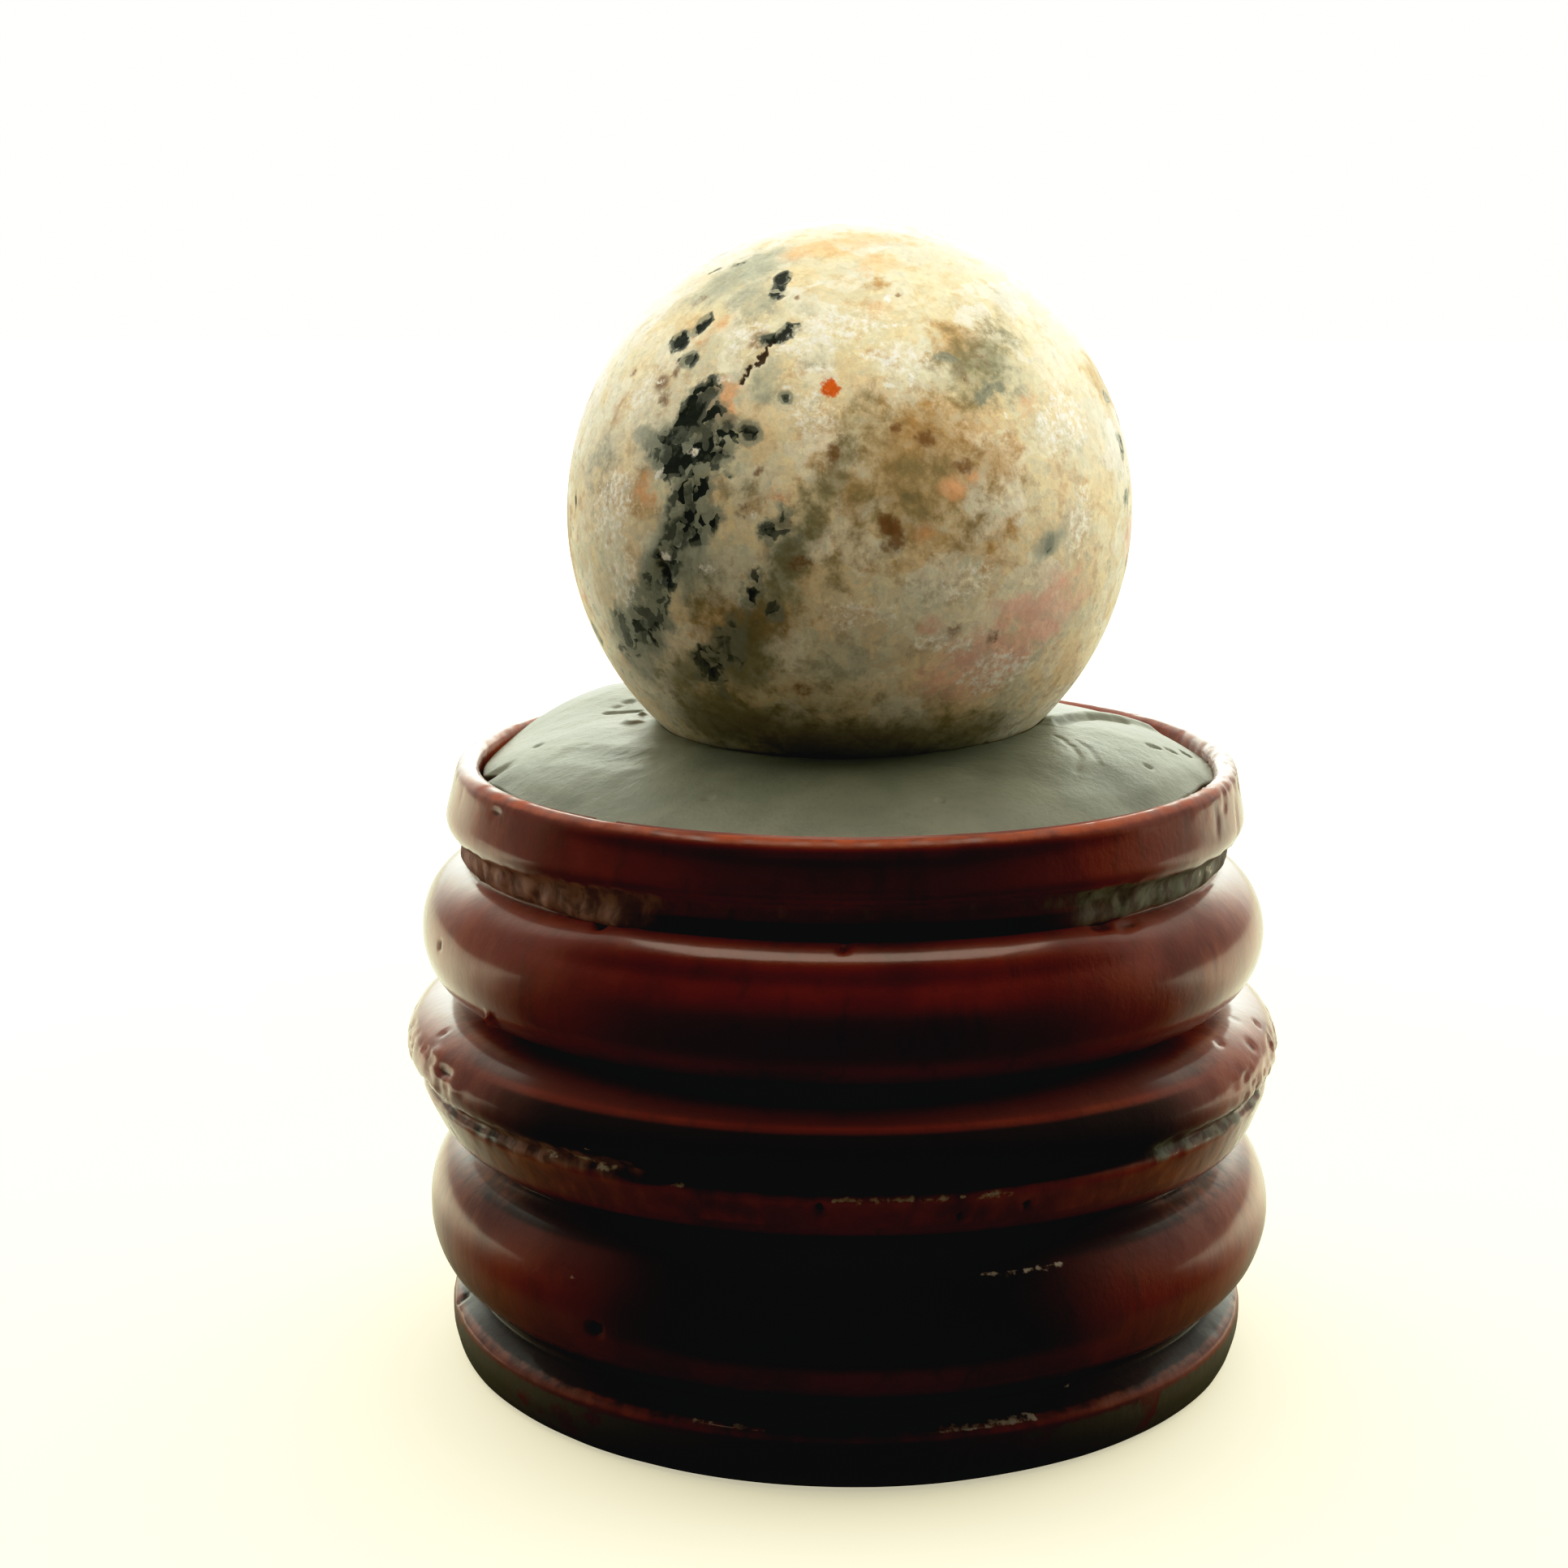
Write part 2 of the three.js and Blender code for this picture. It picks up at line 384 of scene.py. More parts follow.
def small_marks(s):
    """The relief of pits, lumps and dashes in mm, and where there are dark pits (grime and painted shade),
    crumbs and pale wood.
    """
    relief, dirt_and_shade, crumbs, pale = np.zeros((4, *s.angle.shape))
    for *place, depth in STAND_PITS:
        mark = s.spot(*place, 2.0 * s.ragged / s.radius, 0.08 * s.ragged)
        relief -= depth * mark
        # Dark pit bottoms: grime, and painted shade in the hollows
        dirt_and_shade = np.maximum(dirt_and_shade, mark * (1.0 if depth > DIRT_AND_SHADE_DEPTH else 0.5))
    for *place, rise in STAND_LUMPS:
        mark = s.spot(*place)
        relief += rise * mark
        crumbs = np.maximum(crumbs, mark * (place[2] < 0.5))
    for first, last, level, half in PALE_DASHES:
        dash = s.around(first, last, 0.6) * smooth(np.abs(s.height - level), 1.6 * half, 0.5 * half)
        pale = np.maximum(pale, dash * smooth(s.ragged + 0.5 * s.fibres, -0.6, -0.05))
    return relief + 0.05 * pale, dirt_and_shade, crumbs, pale


def rim_wear_and_highlight(s):
    """The orange line on the rim's upper edge, strongest at the front: rubbed lacquer, and a painted
    highlight.
    """
    return s.band(*RIM_LINE) * (0.6 + 0.4 * s.ragged) * (0.3 + 0.7 * s.around(-55, 55, 25))


def wear_and_light_mask(s, crumbs):
    """Orange over the red: rubbed lacquer on the lips, ridges and crumbs, a partly painted highlight on the
    rim's edge, and painted light on the stand's sides and the upper lip's sides.
    """
    lip_wear = 0.36 + 0.3 * s.ragged + 0.25 * smooth(s.height, 19.6, 20.3)
    lower_lip = s.band(*LOWER_LIP_FACE) * lip_wear
    frayed = 0.35 * s.band(*LOWER_LIP) * s.around(-75, -28)
    # Painted light: the upper lip is lighter at its sides than at its front.
    painted_lip_side_light = s.band(*UPPER_LIP) * smooth(np.abs(s.angle), 35, 60) * (0.3 + 0.4 * s.ragged)
    base_edge = s.band(*BASE_EDGE_LINE) * (0.5 + 0.2 * s.ragged)
    # Painted light: the stand's left and right sides are lighter, as the light from behind falls on them.
    sideways = smooth(np.abs(np.sin(np.radians(s.angle + 4 * s.broad))), 0.55, 0.95)
    painted_side_light = sideways * (0.5 + 0.25 * s.broad) * (s.height > 5.5)
    parts = [rim_wear_and_highlight(s), lower_lip, base_edge, painted_lip_side_light, frayed, painted_side_light, 1.5 * crumbs]
    return np.clip(np.maximum.reduce(parts), 0, 1)


def torn_mask(s):
    """Bare torn wood in the neck and the V cut."""
    neck_top = s.band(*NECK_TOP) * s.around(-34, 34, 10)
    return np.clip(0.8 * torn_neck(s) + 0.3 * neck_top + torn_cut(s) * (0.55 + 0.4 * s.ragged), 0, 1)


def painted_shade_mask(s):
    """Painted shade: the lacquer darker at the front, where it mirrors dark surroundings, and a little less
    so at the back.
    """
    painted_shade = np.zeros(s.angle.shape)
    for low, high, soft, half_angle, most in PAINTED_SHADE_ZONES:
        zone = most * s.band(low, high, soft)
        at_front = between(s.angle + 3 * s.broad, -half_angle, half_angle, 30)
        at_back = smooth(np.abs(s.angle + 5 * s.broad), 150 - half_angle, 176 - half_angle)
        painted_shade = np.maximum(painted_shade, zone * np.maximum(at_front, 0.7 * at_back))
    return painted_shade


def painted_shade_ledges(s):
    """Painted shade: dark lacquer under a full gloss beside the creases at the front."""
    dark = np.zeros(s.angle.shape)
    for low, high, most, half_angle in PAINTED_SHADE_LEDGES:
        ledge = s.band(low, high, 0.5, WALL_RADIUS) * s.around(-half_angle, half_angle, 12)
        dark = np.maximum(dark, most * ledge)
    return dark


def painted_base_reflection_mask(s):
    """Painted reflection: a dull yellow-green sheen on the base's side where it mirrors the floor, patchy
    and mostly gone at the back.
    """
    painted_base_reflection = s.band(*BASE_SIDE) * (0.85 - 0.5 * smooth(s.broad + 0.3 * s.ragged, 0.2, 0.5))
    return painted_base_reflection * (1.0 - 0.75 * smooth(np.abs(s.angle), 95, 130))


def stand_masks(s, dirt_and_shade, crumbs, pale):
    """What the lacquer's material reads, by name."""
    painted_shade = painted_shade_mask(s)
    shoulder = s.band(*SHOULDER) * s.around(-36, 36, 14)
    flange_front = s.band(*FLANGE_FACE) * s.around(-32, 32, 16)
    brown_gap = s.band(*V_CUT) * s.around(-60, -42, 3) * smooth(s.coarse, -0.4, 0.2)
    scuffed = s.band(*V_CUT_MIDDLE) * s.around(-37, -28, 3) * smooth(s.ragged + 0.4 * s.fibres, -0.1, 0.5)
    return {
        "dull": np.maximum.reduce([painted_shade, shoulder, flange_front, rim_wear_and_highlight(s)]),
        # rubbed wear, with painted light on the sides and a painted highlight on the rim's edge
        "worn": wear_and_light_mask(s, crumbs),
        "torn": torn_mask(s),
        # painted reflection of the floor on the base's side
        "painted_base_reflection": painted_base_reflection_mask(s),
        # dark pits and a dark patch in the V cut: grime, and painted shade in these hollows
        "dirt_and_shade": np.maximum(dirt_and_shade, 0.8 * brown_gap),
        # painted shade at the front and beside the creases
        "painted_shade": np.maximum(painted_shade, painted_shade_ledges(s)),
        "pale": np.maximum(0.55 * pale, 0.6 * scuffed),
    }


# ---- The putty pad ----

PAD_RADIUS = 26.12
PAD_COLUMNS = 560
PAD_CROWDING = 0.2
PAD_RINGS = 90  # across the top
PAD_INNERMOST = 0.3  # radius of the top's innermost ring, as a share of the pad's
PAD_SIDE_RINGS = 9
SEAT_GAP = 0.04  # between the putty and the ball's underside

CROWN_RADIUS = 13.6
CROWN_HEIGHT = 45.75
CROWN_SIDE_LIFT = 0.25  # towards +X
CROWN_FRONT_DROP = 0.7
EDGE_HEIGHT = 42.1
EDGE_REAR_LIFT = 0.43
ROUNDNESS = 2.2  # how full the side is between crown and edge
PAD_LUMP = (-19.5, 14.5, 2.0, 6.0)  # x, y, rise and spread
PAD_HOLLOW = (11.5, 19.0, -0.9, 7.0)


def bump(x, y, centre_x, centre_y, rise, spread):
    return rise * np.exp(-((x - centre_x) ** 2 + (y - centre_y) ** 2) / (2 * spread**2))


def pad_top(x, y):
    """Height of the pressed top of the putty, before the ball sinks into it."""
    radius = np.hypot(x, y) + 1e-9
    edge = EDGE_HEIGHT + EDGE_REAR_LIFT * y / radius
    crown = CROWN_HEIGHT + CROWN_SIDE_LIFT * x / radius
    crown -= CROWN_FRONT_DROP * np.clip(-y / radius, 0, 1) ** 2
    run = np.clip((radius - CROWN_RADIUS) / (PAD_RADIUS - CROWN_RADIUS), 0, 1)
    top = edge + (crown - edge) * (1 - run**ROUNDNESS)
    return top + bump(x, y, *PAD_LUMP) + bump(x, y, *PAD_HOLLOW)


# Creases pressed into the putty: corners, width and depth in mm; a depth below zero is a ridge
PAD_CREASES = (
    (((14.5, -7.4), (15.3, -9.5), (15.6, -12), (15.1, -14)), 0.28, 0.08),
    (((15.8, -8), (16.6, -10), (16.8, -12), (16.2, -13.9)), 0.25, 0.06),
    (((14, -3.6), (15.2, -1.5), (16.7, 1), (19.2, 2.5), (22, 4)), 0.9, -0.3),
    (((14.8, -3.9), (16.1, -1.8), (17.6, 0.2), (20, 1.6)), 0.5, 0.2),
    (((-17.6, 2.6), (-16.5, 2.2), (-15.4, 2.3)), 0.4, 0.16),
    (((22.7, -3.1), (23.1, -2.8)), 0.3, 0.25),
    (((21.2, -4.4), (21.7, -4)), 0.3, 0.25),
    (((-19, -8), (-16, -11), (-12.5, -13)), 1.6, 0.12),
    (((9, -17), (13, -16.5), (17, -14)), 1.8, 0.12),
    (((-8, 15), (-14, 17), (-18, 13)), 0.5, 0.2),
    (((5, 18), (10, 20.5), (16, 19)), 0.6, -0.2),
)
# Pits (and, with a depth below zero, crumbs) in the putty: x, y, radius and depth in mm
PAD_PITS = (
    (24.2, -1.2, 0.45, 0.4), (-16.2, 5.3, 0.6, 0.15), (-15.4, -1.5, 0.8, -0.2), (-17, 4.2, 0.5, 0.1),
    (-14.9, 1.3, 0.3, -0.2), (20.5, -9.5, 0.35, 0.2), (-22, -3, 0.4, 0.15), (6, -21, 0.3, 0.15),
    (-9, -20, 0.35, 0.15), (-3, 21, 0.5, 0.3), (17, 12, 0.5, 0.3),
)
# Where the putty's edge has drawn back from the rim: first and last angle, softness and gap in mm
PAD_GAPS = ((-68, -48, 8, 0.6), (50, 73, 8, 0.7), (-79, -77, 1.5, 0.9), (118, 150, 8, 0.5))


def line_distance(x, y, corners):
    """Distance from each point to the nearest stretch of a line through the corners."""
    nearest = np.full(x.shape, 99)
    for (x0, y0), (x1, y1) in zip(corners[:-1], corners[1:]):
        run = (x1 - x0, y1 - y0)
        share = np.clip(((x - x0) * run[0] + (y - y0) * run[1]) / (run[0] ** 2 + run[1] ** 2), 0, 1)
        nearest = np.minimum(nearest, np.hypot(x - x0 - share * run[0], y - y0 - share * run[1]))
    return nearest


def pressed_marks(x, y, wander):
    """Depth of the creases and pits at each point; wander shifts them about a little."""
    depth = np.zeros(x.shape)
    for corners, width, deepest in PAD_CREASES:
        depth += deepest * smooth(line_distance(x + wander, y + wander, corners), 1.3 * width, 0.1 * width)
    for middle_x, middle_y, wide, deepest in PAD_PITS:
        reach = np.hypot(x - middle_x + 0.5 * wander, y - middle_y - 0.5 * wander) / wide
        depth += deepest * smooth(reach, 1.3, 0.4)
    return depth


def under_ball(x, y, gap):
    """Height of the ball's underside less a gap, and far above beyond its reach."""
    share = 1 - (np.hypot(x, y) / (BALL_RADII[0] + gap)) ** 2
    below = BALL_CENTRE[2] - (BALL_RADII[2] + gap) * np.sqrt(np.clip(share, 0, 1))
    return np.where(share > 0, below, 99)


def make_putty():
    reach = np.linspace(PAD_INNERMOST, 1.0, PAD_RINGS) ** 0.9
    angle, share = np.meshgrid(turn_angles(PAD_COLUMNS, PAD_CROWDING), reach)
    drawn_back = sum(gap * between(signed(angle), low, high, soft) for low, high, soft, gap in PAD_GAPS)
    drawn_back = drawn_back * smooth(share, 0.9, 1.0)
    radius = share * PAD_RADIUS - drawn_back
    flat = turned_points(angle, radius, np.zeros_like(radius))
    x, y = flat[..., 0], flat[..., 1]
    points = flat.reshape(-1, 3)
    lumps = fractal(points, 5, 3, 11).reshape(x.shape)
    grain = fractal(points, 1.1, 2, 12).reshape(x.shape)
    top = pad_top(x, y) + 0.07 * lumps + 0.015 * grain - pressed_marks(x, y, 0.25 * grain)
    top = np.minimum(top - 0.35 * drawn_back, under_ball(x, y, SEAT_GAP))
    upper = turned_points(angle, radius, top)[::-1]

    rise = np.linspace(0, 0.97, PAD_SIDE_RINGS)[:, None]
    side = np.repeat(upper[:1], PAD_SIDE_RINGS, axis=0)
    side[..., 2] = PAD_FLOOR + (side[..., 2] - PAD_FLOOR) * rise
    seat = float(under_ball(0.0, 0.0, SEAT_GAP))
    return turned_piece("putty", np.concatenate([side, upper]), (0, 0, PAD_FLOOR), (0, 0, seat))


# ---- The stone ball ----

BALL_CUTS = 119  # cuts across each side of the cube that the ball is spread from
BALL_MEAN = 20.0  # radius at which the patches' sizes are measured

# Patches on the front, of mineral and of painted shade and highlights: angle, elevation, half length, half
# width in mm, tilt and strength
STONE_PATCHES = {
    "dark": (
        (-33, 23, 2, 1, 66, 0.95), (-31, 18, 2.6, 1.9, 60, 0.78), (-35, 14.5, 2.6, 1.3, -14, 0.74),
        (-24.5, 19, 1.2, 0.9, 60, 0.8), (-20, 19, 0.8, 0.7, 5, 0.9), (-27, 14, 1.6, 0.9, 20, 0.74),
        (-38, 18, 1, 0.6, 40, 0.8), (-30, 26, 0.9, 0.4, 32, 0.8), (-13, 26, 0.45, 0.38, 0, 0.9),
        (-17, 39, 1, 0.5, 24, 0.95), (-40, 41, 0.8, 0.5, 70, 1), (-45, 37, 0.8, 0.7, 0, 1),
        (-39, 33, 0.65, 0.55, 0, 0.9), (-22, 53, 0.9, 0.45, 100, 1), (-21, 49, 0.7, 0.5, 70, 0.7),
        (-55, 56, 0.55, 0.2, 40, 0.8), (-46, 58, 0.55, 0.2, 35, 0.8),
        (-31.5, 6, 2.4, 1.3, 75, 0.8), (-34, 0, 2.6, 1.3, 70, 0.78), (-29, 2, 1.6, 1.2, 60, 0.7),
        (-37, -6, 2.4, 1, 62, 0.8), (-41, -12, 2.4, 1.1, 55, 0.66), (-47, -18, 3, 1.5, 45, 0.66),
        (-54, -21, 2.2, 1.4, 38, 0.66), (-14, 3, 1, 0.7, 40, 0.6), (-14, -13, 0.9, 0.7, 90, 0.58),
        (-25, -20, 1.8, 1.1, 70, 0.48), (-30, -26, 2, 1.3, 76, 0.54), (-19, -10, 1.6, 0.6, 60, 0.5),
        (-70, 4, 0.6, 0.25, 95, 0.9), (22, 34, 0.7, 0.3, -12, 0.7), (30, 26, 1.1, 0.6, 30, 0.5),
        (41, -2, 0.9, 0.4, 49, 0.45),
    ),
    "olive_and_shade": (
        (-3, 12, 2.8, 0.8, 70, 0.75), (-8, 2, 3.4, 1.2, 65, 0.7), (-14, -10, 3.6, 1.4, 60, 0.8),
        # In this row and the next, the patches 33 to 45 degrees below the ball's middle are painted shade
        # low on the ball.
        (-22, -22, 4.2, 2.2, 60, 0.9), (-8, -33, 6.5, 1.7, 0, 0.45), (12, -33, 6, 1.6, 0, 0.4),
        (0, -45, 9, 3.2, 0, 0.9), (30, -43, 5, 2.6, 0, 0.8), (-32, -40, 5, 3, 0, 0.95),
        (4, 18, 3, 1.6, 50, 0.4), (22, 2, 3, 1.6, 40, 0.4), (-2, -6, 2.4, 1.4, 60, 0.35),
        (-20, 10, 1.6, 1.2, 0, 0.4), (-28, -10, 2.5, 1.2, 60, 0.5), (31, 33, 3.6, 2.5, 50, 0.75),
        (10, 8, 5.5, 3.4, 10, 0.5), (26, 36, 3.2, 1.2, 30, 0.5), (-55, 8, 2.6, 1.4, 60, 0.4),
        (-35, -28, 4, 1.6, 20, 0.8), (38, 14, 2.6, 1, 50, 0.3), (2, 24, 2, 1, 60, 0.4),
    ),
    "grey": (
        (-41, 54, 3.6, 1.8, 38, 0.9), (-30, 48, 2.2, 2.2, 0, 0.7), (-38, 61, 1.6, 0.9, 60, 0.9),
        (-36, 15, 3, 1.7, -10, 0.9), (-31, -2, 3.2, 1.7, 75, 0.9), (-17, 30, 1.6, 1.1, 80, 0.6),
        (-50, -22, 3.2, 2, 60, 0.9), (-11, -3, 2.4, 1.2, 70, 0.75), (-46, 18, 0.8, 0.6, 37, 0.8),
        (48, 46, 1.5, 0.9, 45, 0.5), (43, 39, 1.6, 1.2, -60, 0.5), (37, 29, 2.6, 2, 0, 0.5),
        (41, -2, 1.6, 0.9, 49, 0.85), (0, -24, 4, 1.4, 5, 0.4), (16, -10, 3, 1.6, 0, 0.35),
        (-13, 45, 1, 0.7, 0, 0.5), (-60, 12, 2, 1.4, 60, 0.5), (-6, 33, 1.2, 0.8, 0, 0.4),
        (-37, -4, 5, 1.6, 63, 0.95), (-48, -20, 3.6, 2.2, 50, 1), (5, -22, 5, 2, 0, 0.3),
    ),
    "brown": (
        (-22, 38, 0.9, 0.6, 70, 0.7), (-41, 31, 0.7, 0.5, 70, 0.7), (-45, 28, 0.7, 0.6, 90, 0.95),
        (-42, 25, 0.6, 0.45, 60, 0.8), (-15, 48, 0.3, 0.25, 50, 0.9), (-56, 30, 0.5, 0.25, 30, 0.8),
        (-47, 47, 0.8, 0.5, 40, 0.6), (-12, 3, 0.6, 0.5, 0, 0.75), (-17, 12, 0.45, 0.25, 20, 0.8),
        (-9, -4, 0.7, 0.5, 0, 0.7), (-54, -3, 0.25, 0.2, 0, 0.8), (-10, -30, 0.8, 0.7, 0, 0.6),
        (-3, 15, 0.9, 0.5, 80, 0.75), (14, 49, 0.25, 0.2, 0, 0.8), (25, 30, 0.9, 0.5, 110, 0.5),
        (30, 34, 1.4, 0.7, 120, 0.4), (9, 20, 0.3, 0.25, 0, 1), (15, 18, 0.7, 0.6, 0, 0.8),
        (22, 13, 0.7, 0.5, 0, 0.8), (7, 1, 1, 0.7, 90, 1), (21, -18, 0.7, 0.6, 90, 0.7),
        (30, -19, 0.7, 0.5, 100, 0.65), (-20, 5, 0.7, 0.5, 0, 0.5), (36, 12, 0.3, 0.3, 0, 0.6),
    ),
    "ochre": (
        (13, 16, 4.8, 3.4, -4, 0.8), (27, 13, 2.6, 1.6, 0, 0.7), (12, 9, 4, 2.4, 0, 0.8),
        (26, 38, 2.1, 1.2, 18, 0.75), (9, 2, 1.6, 1, 0, 0.8), (15, 0, 1.4, 1, 0, 0.8),
        (0, 8, 2, 1.3, 90, 0.8), (11, -5, 0.8, 0.6, 0, 0.6), (30, 0, 1.6, 0.9, 40, 0.6),
        (28, -5, 1.2, 0.7, 0, 0.6), (50, 9, 1.2, 0.6, 0, 0.6), (-20, -16, 3.4, 1.5, 14, 0.95),
        (-26, -12, 1.8, 0.7, 0, 0.6), (-45, 7, 2, 1.6, 60, 0.6), (-18, 6, 1.2, 0.8, 40, 0.6),
        (-3, 13, 1.8, 0.9, 75, 0.7), (8, 52, 1, 0.8, 0, 0.6), (24, 20, 1.8, 1.2, 40, 0.55),
        (-6, 2, 2.2, 0.9, 70, 0.5), (40, 20, 1.6, 0.9, 60, 0.35), (-58, 22, 1.4, 0.6, 60, 0.4),
        (14, 10, 6.5, 4.2, 20, 0.6), (18, 1, 4.4, 2.8, 0, 0.55), (-10, -8, 3, 1.6, 60, 0.4),
    ),
    "peach": (
        (-16, 64, 2.4, 1.2, 10, 0.8), (-26, 26, 1.5, 1.1, 60, 0.9), (-23, 23, 1.1, 0.35, 96, 1),
        (8, 68, 3, 1.4, 20, 0.8), (12, 58, 1.8, 0.9, -20, 0.7), (-36, 40, 1.2, 1, 0, 0.45),
        (20, 9, 0.9, 0.7, 0, 0.9), (24, 11, 0.6, 0.4, 0, 0.7), (-42, 8, 1.2, 0.8, 60, 0.6),
        (-6, 62, 2, 0.7, 0, 0.5), (14, 1, 0.8, 0.7, 0, 0.5), (40, 24, 1.5, 0.6, 60, 0.4),
        (-13, 8, 1, 0.7, 0, 0.4), (5, 44, 2, 0.8, 20, 0.35),
    ),
    "rose": (
        (38, -14, 2.9, 1, 8, 0.85), (45, -9, 2, 1.2, 0, 0.5), (26, -23, 1.1, 0.8, 0, 1),
        (36, -24, 1.7, 1, 0, 0.75), (42, -19, 1.7, 0.8, 0, 0.95), (33, -19, 1.6, 1, 0, 0.6),
        (17, -16, 1.2, 0.6, 0, 0.5), (27, -31, 2.2, 0.8, 0, 0.6), (52, -14, 1.2, 0.8, 0, 0.5),
        (30, -24, 4.6, 2.2, 20, 0.75), (41, -18, 3.6, 2, 20, 0.75),
    ),
    "white_and_highlight": (
        (-13, 28, 0.28, 0.24, 0, 1), (8, 33, 0.6, 0.3, 0, 0.9), (8, 28, 0.25, 0.2, 0, 1),
        (13, 29, 0.25, 0.4, 0, 1), (11, 48, 0.25, 0.25, 0, 1), (-6, 31, 1.1, 0.7, 0, 0.5),
        (-12, 36, 1.5, 0.8, 0, 0.5), (-32, 15, 0.5, 0.3, 0, 0.7), (-37, -4, 0.4, 0.4, 0, 0.9),
        (-27, -6, 0.7, 0.5, 0, 0.6), (-28, 29, 0.5, 0.3, 0, 0.6), (-39, 11, 0.5, 0.3, 60, 0.8),
        (10, 42, 1.6, 0.5, 10, 0.5), (33, 22, 0.3, 0.25, 0, 0.8), (-18, 4, 0.4, 0.3, 0, 0.6),
        (-4, 40, 3.5, 2, 20, 0.5), (10, 34, 3, 1.4, 0, 0.5), (-8, 22, 2, 1.6, 0, 0.5),
        # The first five patches of this row and the next, near the ball's left and right edges, are painted
        # highlights.
        (48, 20, 3, 2.4, 60, 0.5), (50, 2, 3, 1.6, 60, 0.5), (-50, 25, 2.6, 1.4, 60, 0.5),
        (-52, 4, 3.6, 2.2, 60, 0.55), (-50, -10, 2.6, 1.6, 60, 0.5), (-26, 38, 1.8, 1.2, 60, 0.5),
        (2, -14, 3, 1.4, 0, 0.45), (24, -8, 2.6, 1.6, 30, 0.45), (34, -27, 3.4, 1.6, 10, 0.55),
        (20, -20, 3, 1.2, 0, 0.5),
    ),
    "ember": ((-4, 28, 0.55, 0.6, 0, 1),),
}
STONE_CRACK = ((-18, 37.5), (-20, 35), (-20.5, 33.5), (-22, 32), (-23, 30), (-24, 28.5))
CRACK_WIDTH = 0.4
STONE_PIT = (-38, -7, 0.5, 0.4, 0)
HIDDEN_PATCHES = 150
HIDDEN_SIDES = (72, 288)  # first and last angle that the hidden patches lie between
# Kinds of hidden patch, with how often each comes and its size
HIDDEN_KINDS = {
    "grey": (0.26, 1.9), "ochre": (0.26, 1.9), "peach": (0.12, 1.9), "brown": (0.12, 0.6),
    "dark": (0.14, 0.7), "rose": (0.04, 1.9), "olive_and_shade": (0.06, 1.9),
}


def sphere_direction(angle, elevation):
    lift = np.radians(elevation)
    return turned_points(np.asarray(angle, float), np.cos(lift), np.sin(lift))


def patch_nearness(direction, angle, elevation, length, width, tilt):
    """1 at the middle of an elliptical patch on the ball, 0 past its edge, one value a direction."""
    middle = sphere_direction(angle, elevation)
    east = sphere_direction(angle + 90, 0.0)
    north = np.cross(middle, east)
    turn = math.radians(tilt)
    across = direction @ (east * math.cos(turn) + north * math.sin(turn)) * BALL_MEAN
    up = direction @ (north * math.cos(turn) - east * math.sin(turn)) * BALL_MEAN
    reach = np.hypot(across / length, up / width)
    return np.where(direction @ middle > 0, smooth(reach, 1.8, 0.3), 0.0)


def hidden_patches():
    """Patches for the sides and back that the front's list leaves out, of the same kinds and sizes."""
    dice = np.random.default_rng(7)
    kinds = list(HIDDEN_KINDS)
    odds = [often for often, _ in HIDDEN_KINDS.values()]
    for _ in range(HIDDEN_PATCHES):
        kind = kinds[dice.choice(len(kinds), p=odds)]
        angle = dice.uniform(*HIDDEN_SIDES)
        elevation = math.degrees(math.asin(dice.uniform(-0.9, 0.98)))
        length = HIDDEN_KINDS[kind][1] * dice.uniform(0.7, 2.0)
        width = length * dice.uniform(0.4, 0.8)
        yield kind, (angle, elevation, length, width, dice.uniform(0, 180), dice.uniform(0.5, 1.0))


def line_nearness(direction, corners, width):
    """1 on a line through corners given as angle and elevation, 0 beyond its width in mm."""
    places = np.array([sphere_direction(*corner) for corner in corners])
    nearest = np.full(len(direction), 9.0)
    for start, end in zip(places[:-1], places[1:]):
        span = end - start
        share = np.clip((direction - start) @ span / (span @ span), 0, 1)
        nearest = np.minimum(nearest, np.linalg.norm(direction - start - share[:, None] * span, axis=1))
    return smooth(nearest * BALL_MEAN, width, 0.3 * width)


def cube_sphere():
    """A cube of even grids, and the direction from the ball's centre of each of its vertices."""
    mesh = bmesh.new()
    bmesh.ops.create_cube(mesh, size=2)
    bmesh.ops.subdivide_edges(mesh, edges=mesh.edges[:], cuts=BALL_CUTS, use_grid_fill=True)
    corners = np.array([v.co for v in mesh.verts])
    return mesh, unit(np.tan(corners * math.pi / 4))


def stone_layers(direction, ragged, frayed):
    """How strongly each kind of patch, and the crack, shows in each direction."""
    swayed = np.array([noise.noise_vector(Vector(d) * 6) for d in direction])
    strayed = unit(direction + 0.025 * ragged + 0.04 * swayed)
    layers = {kind: np.zeros(len(direction)) for kind in STONE_PATCHES}
    placed = [(kind, row) for kind, rows in STONE_PATCHES.items() for row in rows]
    for kind, (*shape, strength) in placed + list(hidden_patches()):
        moved = frayed if shape[2] < 1.0 else strayed
        layers[kind] = np.maximum(layers[kind], strength * patch_nearness(moved, *shape))
    layers["crack"] = line_nearness(direction + 0.02 * ragged, STONE_CRACK, CRACK_WIDTH)
    return layers


